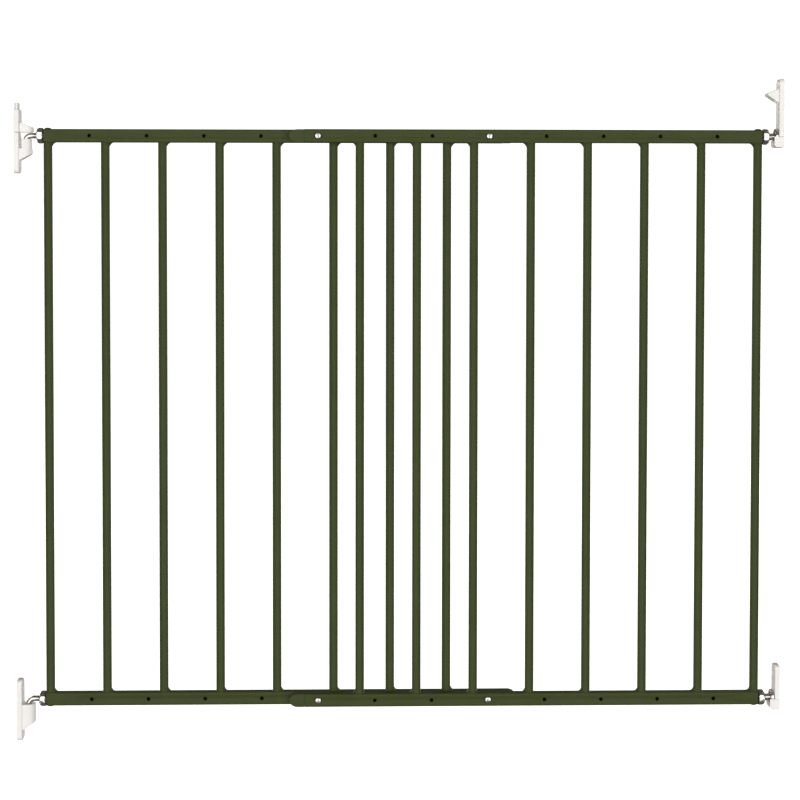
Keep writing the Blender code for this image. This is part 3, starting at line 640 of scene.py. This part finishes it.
@dataclass
class Rail:
    """One rail: a rounded rectangular tube, drawn in at its post end and pierced in front."""

    half: Half
    level: Level
    corner: float = 2.0 * MM
    wall: float = 0.9 * MM
    drawn: float = 1.7 * MM     # radius of the drawn-in end
    first_hole: float = 52 * MM
    pitch: float = 71 * MM
    holes: int = 8
    hole: float = 4.8 * MM      # an unused hole, its edge thick with paint
    join_hole: float = 5.7 * MM
    joins: tuple[int, int] = (4, 7)     # the holes that the join screws use
    rim: float = 0.12 * MM      # paint rounded over a hole's edge
    post_axis: float = 5.5 * MM
    corner_steps: int = 6
    drawn_steps: int = 6
    hole_sides: int = 40

    @property
    def node(self) -> str:
        """Return the CAD node's name."""
        return f"{self.half.value}_rail_{self.level.value}"

    def skin(self, box: Box) -> Shape:
        """Return the tube's outer skin, open at its free end and drawn in at the other."""
        run = self.half.inward
        shape = block(box.size, box.centre)
        ends = [face for face in shape.faces if abs(face.normal.x) > 0.5]
        bmesh.ops.delete(shape, geom=ends, context="FACES_ONLY")
        bevel(shape, [edge for edge in shape.edges
                      if abs(edge.verts[0].co.x - edge.verts[1].co.x) > MM],
              self.corner, self.corner_steps)
        tip = box.low.x if run > 0 else box.high.x
        ring = [edge for edge in shape.edges if edge.is_boundary
                and abs(edge.verts[0].co.x - tip) < DOUBLES]
        inner = box.size / 2 - Vector((0, self.corner, self.corner))
        for vert in {vert for edge in ring for vert in edge.verts}:
            vert.co.x += run * self.drawn
        previous = 0.0
        for step in range(1, self.drawn_steps + 1):
            angle = math.radians(90 * step / self.drawn_steps)
            grown = bmesh.ops.extrude_edge_only(shape, edges=ring)["geom"]
            ring = [item for item in grown if isinstance(item, bmesh.types.BMEdge)]
            inset = self.drawn * (1 - math.cos(angle))
            for vert in {vert for edge in ring for vert in edge.verts}:
                flat = Vector((0, vert.co.y - box.centre.y, vert.co.z - box.centre.z))
                core = Vector((0, max(-inner.y, min(inner.y, flat.y)),
                               max(-inner.z, min(inner.z, flat.z))))
                out = (flat - core).normalized()
                vert.co -= out * (inset - previous)
                vert.co.x = tip + run * self.drawn * (1 - math.sin(angle))
            previous = inset
        bmesh.ops.recalc_face_normals(shape, faces=shape.faces)
        return shape

    def piercings(self, box: Box) -> Shape:
        """Return the cutters of the adjusting holes, wider where the paint rounds over."""
        run = self.half.inward
        post = (box.low.x if run > 0 else box.high.x) + run * self.post_axis
        cutters = []
        for index in range(self.holes):
            radius = (self.join_hole if index in self.joins else self.hole) / 2
            profile = [(0, -box.size.y / 2), (radius, -box.size.y / 2), (radius, -self.rim),
                       (radius + 0.3 * self.rim, -0.4 * self.rim), (radius + self.rim, 0),
                       (radius + self.rim, MM), (0, MM)]
            place = post + run * (self.first_hole + index * self.pitch)
            cutters.append(moved(turned(profile, self.hole_sides), pointing("Y", -1),
                                 (place, box.low.y, box.centre.z)))
        return joined(*cutters)

    def build(self) -> bpy.types.Object:
        """Return the finished tube."""
        box = Box.of(self.node)
        shape = self.skin(box)
        bmesh.ops.solidify(shape, geom=shape.faces[:], thickness=self.wall)
        bmesh.ops.recalc_face_normals(shape, faces=shape.faces)
        item = show(f"{self.node}_tube", shape)
        carve(item, self.piercings(box))
        return item


@dataclass
class EndPlug:
    """The plastic plug in a rail's free end: a collar and a half-oval nose."""

    half: Half
    level: Level
    nose: float = 10.2 * MM
    gap: float = 0.3 * MM       # rail's end to the collar
    round_share: float = 0.999  # of the half height, so that the two rounds don't meet
    nose_steps: int = 14
    edge: float = 2.4 * MM
    edge_steps: int = 5
    stub: float = 12 * MM
    wall: float = 1.2 * MM

    @property
    def node(self) -> str:
        """Return the CAD node's name."""
        return f"{self.half.value}_rail_plug_{self.level.value}"

    def build(self) -> bpy.types.Object:
        """Return the plug."""
        run = self.half.inward
        box = Box.of(self.node)
        rail = Box.of(f"{self.half.value}_rail_{self.level.value}")
        face = (rail.high.x if run > 0 else rail.low.x) + run * self.gap
        tip = box.high.x if run > 0 else box.low.x
        half_height = box.size.z / 2
        root = tip - run * self.nose
        square = root + run * half_height
        size = Vector((abs(square - face), box.size.y, box.size.z))
        shape = block(size, Vector(((square + face) / 2, box.centre.y, box.centre.z)))
        tips = [edge for edge in shape.edges if abs(edge.verts[0].co.y - edge.verts[1].co.y) > MM
                and abs(edge.verts[0].co.x - square) < DOUBLES]
        bevel(shape, tips, half_height * self.round_share, self.nose_steps)
        for vert in shape.verts:
            past = (vert.co.x - root) * run
            if past > 0:
                vert.co.x = root + run * past * self.nose / half_height
        outline = [edge for edge in shape.edges
                   if abs(edge.verts[0].co.y - edge.verts[1].co.y) < DOUBLES
                   and max(abs(vert.co.x - face) for vert in edge.verts) > DOUBLES]
        bevel(shape, outline, self.edge, self.edge_steps)
        inside = block(Vector((self.stub, rail.size.y - 2 * self.wall,
                               rail.size.z - 2 * self.wall)),
                       Vector((face - run * (self.stub / 2 - MM), rail.centre.y, rail.centre.z)))
        return show(f"{self.node}_cap", joined(shape, inside), 40)


@dataclass
class PaintedRivet:
    """The domed rivet over an end post, painted with the frame."""

    node: str
    level: Level
    height: float = 1.8 * MM
    skirt: float = 0.7 * MM     # paint that gathers round its foot

    def build(self) -> bpy.types.Object:
        """Return the rivet's head."""
        box = Box.of(self.node)
        radius = box.size.x / 2
        sign = self.level.outward
        top = box.high.z if sign > 0 else -box.low.z
        low = top - self.height
        dome = [(radius * math.cos(turn), low + self.height * math.sin(turn) ** 0.8)
                for turn in (math.radians(angle) for angle in range(8, 90, 8))]
        profile = [(0, low - MM), (radius + self.skirt, low - 0.3 * MM),
                   (radius + self.skirt / 3, low + 0.12 * MM), *dome, (0, top)]
        shape = moved(turned(profile, 48), pointing("Z", sign), (box.centre.x, box.centre.y, 0))
        return show(f"{self.node}_head", shape, 60)


@dataclass
class WeldedHalf:
    """One half of the frame: an end post, seven bars, two rails and two plugs."""

    half: Half
    hardware: str
    bars: int = 7

    def build(self, finishes: Finishes) -> None:
        """Build and dress every piece of the half.

        Args:
            finishes: the gate's finishes.
        """
        name = self.half.value
        uprights = [f"{name}_post", *(f"{name}_bar_{number}" for number in range(1, self.bars + 1))]
        for index, node in enumerate(uprights):
            seed = index if self.half is Half.REAR else index + 100
            bar = WeldedBar(node, self.half.inward, seed)
            dress(show(f"{node}_welded", bar.build(), 60), finishes.paint, Slot.PAINT, "gate", node)
        for level in Level:
            rail = Rail(self.half, level)
            dress(rail.build(), finishes.paint, Slot.PAINT, "gate", rail.node)
            plug = EndPlug(self.half, level)
            dress(plug.build(), finishes.plug, Slot.PLUG, "gate", plug.node)
            rivet = PaintedRivet(f"{self.hardware}_rivet_{level.value}", level)
            dress(rivet.build(), finishes.paint, Slot.PAINT, "gate", rivet.node)


# ---------------------------------------------------------------- zinc hardware

@dataclass
class JoinFastener:
    """One pan-head cross screw with its nut, holding the halves together."""

    level: Level
    number: int
    turn: float                 # of the cross, in degrees
    head: float = 2.4 * MM
    shank: float = 5.0 * MM
    pitch: float = 0.8 * MM
    slot: float = 1.05 * MM
    slot_length: float = 5.4 * MM
    slot_depth: float = 1.5 * MM
    point: float = 1.25 * MM    # radius of the recess's middle
    thread_depth: float = 0.45 * MM
    thread_gap: float = 0.8 * MM        # plain tip before the thread
    thread_end: float = 8 * MM
    nut_chamfer: float = 0.55 * MM
    nut_play: float = 0.1 * MM

    # The pan head's crown: shares of the radius, and of the height below the top.
    CROWN = ((0.985, 0.62), (0.92, 0.43), (0.8, 0.25), (0.62, 0.11), (0.42, 0.035), (0.2, 0.0))

    @property
    def node(self) -> str:
        """Return the screw's CAD node."""
        return f"join_screw_{self.level.value}_{self.number}"

    @property
    def nut_node(self) -> str:
        """Return the nut's CAD node."""
        return f"join_nut_{self.level.value}_{self.number}"

    def recess(self) -> list[Shape]:
        """Return the cutters of the cross recess: two tapered wings and a point between them."""
        wings = []
        for angle in (0, 90):
            wing = block(Vector((self.slot_length, self.slot, 2 * self.slot_depth)),
                         Vector((0, 0, self.head)))
            low = [vert for vert in wing.verts if vert.co.z < self.head]
            bmesh.ops.scale(wing, vec=(0.45, 0.7, 1), verts=low)
            turn = Matrix.Rotation(math.radians(self.turn + angle), 3, "Z")
            wings.append(moved(wing, turn, (0, 0, 0)))
        over = self.head + 0.3 * MM
        point = turned([(0, self.head - 1.15 * self.slot_depth), (self.point, over), (0, over)], 24)
        return [*wings, point]

    def build_screw(self) -> bpy.types.Object:
        """Return the screw, its thread cut where the nut grips it."""
        box = Box.of(self.node)
        radius = box.size.x / 2
        length = box.size.y - self.head
        core = self.shank / 2 - 0.3 * MM
        crown = [(radius * share, self.head - drop * self.head) for share, drop in self.CROWN]
        profile = [(0, -length), (core - 0.4 * MM, -length), (core, 0.5 * MM - length), (core, 0),
                   (radius - 0.25 * MM, 0), (radius, 0.25 * MM), *crown, (0, self.head)]
        item = show(f"{self.node}_pan_head", turned(profile, 56))
        for cutter in self.recess():
            carve(item, cutter)
        ridge = show("ridge", thread(self.shank / 2, self.thread_depth, self.pitch,
                                     self.thread_gap - length, self.thread_end - length))
        whole = bmesh.new()
        for part in (item, ridge):
            whole.from_mesh(part.data)
            bpy.data.objects.remove(part)
        moved(whole, pointing("Y", -1), (box.centre.x, box.low.y + self.head, box.centre.z))
        return show(f"{self.node}_pan_head", whole)

    def build_nut(self) -> bpy.types.Object:
        """Return the nut, chamfered on both faces."""
        box = Box.of(self.nut_node)
        across = min(box.size.x, box.size.z)
        corner = across / math.sqrt(3)
        high = box.size.y
        washer = across / 2 - 0.2 * MM
        outer = corner + 0.05 * MM
        item = show(f"{self.nut_node}_hex", hexagon(across, 0, high))
        rounded = [(0, 0), (washer, 0), (outer, self.nut_chamfer), (outer, high - self.nut_chamfer),
                   (washer, high), (0, high)]
        carve(item, turned(rounded, 48), "INTERSECT")
        bore = self.shank / 2 + self.nut_play
        carve(item, turned([(0, -MM), (bore + 1.5 * MM, -MM), (bore, 0.4 * MM),
                            (bore, high - 0.4 * MM), (bore + 1.5 * MM, high + MM),
                            (0, high + MM)], 48))
        mesh = item.data
        turn = pointing("Y", 1).to_4x4()
        mesh.transform(Matrix.Translation((box.centre.x, box.low.y, box.centre.z)) @ turn)
        return item

    def build(self, finishes: Finishes) -> None:
        """Build and dress the screw and its nut."""
        dress(self.build_screw(), finishes.zinc, Slot.ZINC, "gate", self.node)
        dress(self.build_nut(), finishes.zinc, Slot.ZINC, "gate", self.nut_node)


@dataclass
class HingeBolt:
    """One bent bolt: a plain leg and bend, then a rolled thread that stands a little proud."""

    level: Level
    bend: float = 7.5 * MM
    major: float = 7.8 * MM
    pitch: float = 1.25 * MM
    chamfer: float = 0.9 * MM   # at the leg's foot
    neck: float = 1.4 * MM      # plain rod after the bend
    sides: int = 40
    bend_steps: int = 18

    @property
    def node(self) -> str:
        """Return the CAD node's name."""
        return f"hinge_bolt_{self.level.value}"

    def build(self) -> bpy.types.Object:
        """Return the bolt."""
        box = Box.of(self.node)
        radius = box.size.y / 2
        axis = box.low.x + radius
        height = box.high.z - radius
        foot = radius - self.chamfer
        shape = bmesh.new()
        bmesh.ops.create_circle(shape, cap_ends=True, segments=self.sides, radius=foot)
        bmesh.ops.translate(shape, vec=(axis, 0, box.low.z), verts=shape.verts)
        edges = shape.edges[:]

        def grow(vec: Vector, scale: float = 1.0) -> list[bmesh.types.BMEdge]:
            """Extrude the open ring by a step, then widen it about its own middle."""
            grown = bmesh.ops.extrude_edge_only(shape, edges=edges)["geom"]
            ring = [item for item in grown if isinstance(item, bmesh.types.BMEdge)]
            verts = list({vert for edge in ring for vert in edge.verts})
            bmesh.ops.translate(shape, vec=vec, verts=verts)
            middle = sum((vert.co for vert in verts), Vector()) / len(verts)
            for vert in verts:
                vert.co = middle + (vert.co - middle) * scale
            return ring

        edges = grow(Vector((0, 0, self.chamfer)), radius / foot)
        edges = grow(Vector((0, 0, height - self.bend - box.low.z - self.chamfer)))
        swept = bmesh.ops.spin(shape, geom=edges + list({v for e in edges for v in e.verts}),
                               axis=(0, 1, 0), cent=(axis + self.bend, 0, height - self.bend),
                               dvec=(0, 0, 0), angle=math.pi / 2, steps=self.bend_steps,
                               use_merge=False)
        edges = [item for item in swept["geom_last"] if isinstance(item, bmesh.types.BMEdge)]
        neck = axis + self.bend + self.neck
        edges = grow(Vector((self.neck, 0, 0)))
        edges = grow(Vector((0.3 * MM, 0, 0)), (self.major / 2 - 0.55 * MM) / radius)
        edges = grow(Vector((box.high.x - neck - 0.3 * MM, 0, 0)))
        bmesh.ops.holes_fill(shape, edges=edges, sides=self.sides)
        bmesh.ops.recalc_face_normals(shape, faces=shape.faces)
        ridge = thread(self.major / 2, 0.6 * MM, self.pitch, neck + 0.7 * MM, box.high.x - 1.2 * MM)
        moved(ridge, pointing("X"), (0, 0, height))
        return show(f"{self.node}_rod", joined(shape, ridge), 40)


@dataclass
class LockBolt:
    """One lock bolt: a round flange, a plain neck and a threaded shank."""

    level: Level
    flange: float = 3.4 * MM
    shank: float = 9.0 * MM
    neck: float = 2.6 * MM
    pitch: float = 1.25 * MM

    @property
    def node(self) -> str:
        """Return the CAD node's name."""
        return f"lock_bolt_{self.level.value}"

    def build(self) -> bpy.types.Object:
        """Return the bolt, its flange towards +X."""
        box = Box.of(self.node)
        radius = box.size.y / 2
        length = box.size.x
        core = self.shank / 2 - 0.55 * MM
        collar = length - self.flange
        edge = 0.5 * MM
        waist = self.shank / 2 - 0.1 * MM
        profile = [(0, 0), (core - MM, 0), (core, MM), (core, collar - self.neck - 0.5 * MM),
                   (waist, collar - self.neck), (waist, collar - 0.5 * MM),
                   (self.shank / 2 + 0.4 * MM, collar),
                   (radius - edge, collar), (radius - 0.15 * MM, collar + 0.15 * MM),
                   (radius, collar + edge), (radius, length - edge),
                   (radius - 0.15 * MM, length - 0.15 * MM), (radius - edge, length), (0, length)]
        ridge = thread(self.shank / 2, 0.6 * MM, self.pitch, 1.6 * MM,
                       collar - self.neck - 0.4 * MM)
        shape = moved(joined(turned(profile), ridge), pointing("X"),
                      (box.low.x, box.centre.y, box.centre.z))
        return show(f"{self.node}_shank", shape, 40)


@dataclass
class AdjustingNut:
    """One hexagonal nut with a domed end."""

    side: str
    level: Level
    bolt: float
    rim: float = 0.8 * MM
    corner: float = 1.0 * MM    # round limit beyond the flats
    nose: float = 6.0 * MM      # radius of the domed end's flat ring
    play: float = 0.12 * MM
    edge: float = 0.18 * MM
    sharp: float = 25.0

    @property
    def node(self) -> str:
        """Return the CAD node's name, which is its body's too."""
        return f"{self.side}_adjusting_nut_{self.level.value}"

    def build(self) -> bpy.types.Object:
        """Return the nut, its domed end away from its post."""
        box = Box.of(self.node)
        sign = -1 if self.side == "hinge" else 1
        across = box.size.y
        outer = across / 2 + self.corner
        length = box.size.x
        half = length / 2
        dome = [(self.nose + (outer - self.nose) * math.cos(turn), half + half * math.sin(turn))
                for turn in (math.radians(angle) for angle in range(0, 91, 6))]
        item = show(f"{self.node}_hex", hexagon(across, 0, length), self.sharp)
        rounded = [(0, 0), (outer - self.rim, 0), (outer, self.rim), *dome, (0, length)]
        carve(item, turned(rounded, 96), "INTERSECT", self.sharp)
        bore = self.bolt / 2 + self.play
        mouth = bore + 0.6 * MM
        carve(item, turned([(0, -MM), (bore + MM, -MM), (bore, 0.5 * MM), (bore, length - 0.5 * MM),
                            (mouth, length), (mouth, length + MM), (0, length + MM)], 64),
              "DIFFERENCE", self.sharp)
        soften(item, self.edge)
        seat = box.high.x if sign < 0 else box.low.x
        turn = Matrix.Rotation(sign * math.pi / 2, 4, "Y")
        item.data.transform(Matrix.Translation((seat, box.centre.y, box.centre.z)) @ turn)
        return item


# ---------------------------------------------------------------- wall fittings

@dataclass
class WallFitting:
    """One moulded fitting: its CAD solid with the soft edges of a moulding."""

    node: str
    voxel: float = 0.36 * MM
    passes: int = 8

    def build(self) -> bpy.types.Object:
        """Return the moulding, rebuilt on a fine even grid and eased."""
        shape = bmesh.new()
        shape.from_mesh(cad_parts[self.node].data)
        bmesh.ops.remove_doubles(shape, verts=shape.verts, dist=DOUBLES)
        item = show(f"{self.node}_moulding", shape)
        grid = item.modifiers.new("Grid", "REMESH")
        grid.mode = "VOXEL"
        grid.voxel_size = self.voxel
        ease = item.modifiers.new("Ease", "SMOOTH")
        ease.factor = 0.5
        ease.iterations = self.passes
        settle(item, SOFT)
        box = Box.of(self.node)
        for vert in item.data.vertices:
            vert.co = Vector(max(low, min(high, value))
                             for low, value, high in zip(box.low, vert.co, box.high))
        return item


# ---------------------------------------------------------------- studio

@dataclass
class Studio:
    """The floor, the lights and the camera."""

    floor: float = -0.115
    sweep: float = 7.0          # radius of the paper
    bend: float = 1.5           # radius of its upward curve
    top: float = 6.0            # height of its edge
    middle: Vector = field(default_factory=lambda: Vector((0.48, 0, 0.36)))     # of the gate
    camera: Vector = field(default_factory=lambda: Vector((0.4171, -2.3021, 0.5957)))
    pan: float = 1.55           # degrees towards +X
    tilt: float = 1.98          # degrees down
    lean: float = 0.07          # degrees anticlockwise
    lens: float = 82.7
    shift: float = -0.14
    room: str = "#EBE0D6"
    room_glow: float = 0.17

    # Each soft box's name, place, width and height, and power in watts.
    BOXES = (("key_box", (-0.85, -3.1, 0.45), (2.2, 3.0), 62),
             ("fill_box", (1.85, -3.1, 0.45), (2.2, 3.0), 58),
             ("back_left_box", (-1.75, 2.8, 0.4), (1.2, 2.2), 50),
             ("back_right_box", (2.7, 2.8, 0.4), (1.2, 2.2), 50))

    def paper(self) -> bpy.types.Object:
        """Return the round paper floor, which curves up far outside the gate."""
        bend, flat = self.bend, self.sweep - self.bend
        profile = [(0, self.floor), (flat, self.floor)]
        profile += [(flat + bend * math.sin(turn), self.floor + bend - bend * math.cos(turn))
                    for turn in (math.radians(angle) for angle in range(10, 91, 10))]
        profile.append((self.sweep, self.top))
        place = (self.middle.x, 0, 0)
        item = show("paper_floor", moved(turned(profile, 96), Matrix.Identity(3), place), SOFT)
        item.data.flip_normals()
        item.data.materials.append(StudioPaper().material())
        item.visible_diffuse = False
        item.visible_glossy = False
        item.visible_shadow = False
        return item

    def light(self, name: str, place: Vector, aim: Vector, size: tuple[float, float],
              power: float) -> None:
        """Add one soft box.

        Args:
            name: the light's name.
            place: where it stands.
            aim: where it points.
            size: its width and height.
            power: its power in watts.
        """
        lamp = bpy.data.lights.new(name, "AREA")
        lamp.shape = "RECTANGLE"
        lamp.size, lamp.size_y = size
        lamp.energy = power
        item = bpy.data.objects.new(name, lamp)
        item.location = place
        item.rotation_euler = (aim - place).to_track_quat("-Z", "Y").to_euler()
        bpy.context.scene.collection.objects.link(item)

    def build(self) -> None:
        """Build the studio and set the scene's camera."""
        self.paper()
        for name, place, size, power in self.BOXES:
            self.light(name, Vector(place), self.middle, size, power)
        world = bpy.data.worlds.new("studio_room")
        world.use_nodes = True
        background = world.node_tree.nodes["Background"]
        background.inputs["Color"].default_value = srgb(self.room)
        background.inputs["Strength"].default_value = self.room_glow
        scene = bpy.context.scene
        scene.world = world
        scene.view_settings.view_transform = "Standard"
        camera = bpy.data.cameras.new("camera")
        camera.lens = self.lens
        camera.shift_y = self.shift
        item = bpy.data.objects.new("camera", camera)
        item.location = self.camera
        aim = (Matrix.Rotation(math.radians(-self.pan), 3, "Z")
               @ Matrix.Rotation(math.radians(90 - self.tilt), 3, "X")
               @ Matrix.Rotation(math.radians(self.lean), 3, "Z"))
        item.rotation_euler = aim.to_euler()
        scene.collection.objects.link(item)
        scene.camera = item


def main() -> None:
    """Build every sub-assembly in order, then the studio."""
    logging.basicConfig(level=logging.INFO, format="%(name)s: %(message)s")
    finishes = Finishes.make()
    WeldedHalf(Half.REAR, "hinge").build(finishes)
    WeldedHalf(Half.FRONT, "lock").build(finishes)
    crosses = iter((12, 64, 38, 81))
    for level in Level:
        for number in (1, 2):
            JoinFastener(level, number, next(crosses)).build(finishes)
        for bolt in (HingeBolt(level), LockBolt(level)):
            dress(bolt.build(), finishes.zinc, Slot.ZINC, "gate", bolt.node)
        for side, bolt_size in (("hinge", 7.8 * MM), ("lock", 9 * MM)):
            nut = AdjustingNut(side, level, bolt_size)
            dress(nut.build(), finishes.zinc, Slot.ZINC, nut.node, nut.node)
            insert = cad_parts[f"{side}_insert_{level.value}"]
            insert.data.materials.clear()
            insert.data.materials.append(finishes.zinc)
            log.info("%s keeps its CAD shape in zinc", insert.name)
    for node, body in (("hinge_socket_upper", "wall_fittings"),
                       ("hinge_socket_lower", "wall_fittings"),
                       ("lock_cup_upper", "wall_fittings"), ("lock_cup_lower", "wall_fittings"),
                       ("hinge_cap", "hinge_cap"), ("lock_catch", "lock_catch")):
        dress(WallFitting(node).build(), finishes.moulding, Slot.MOULDING, body, node)
    Studio().build()


if __name__ == "__main__":
    main()
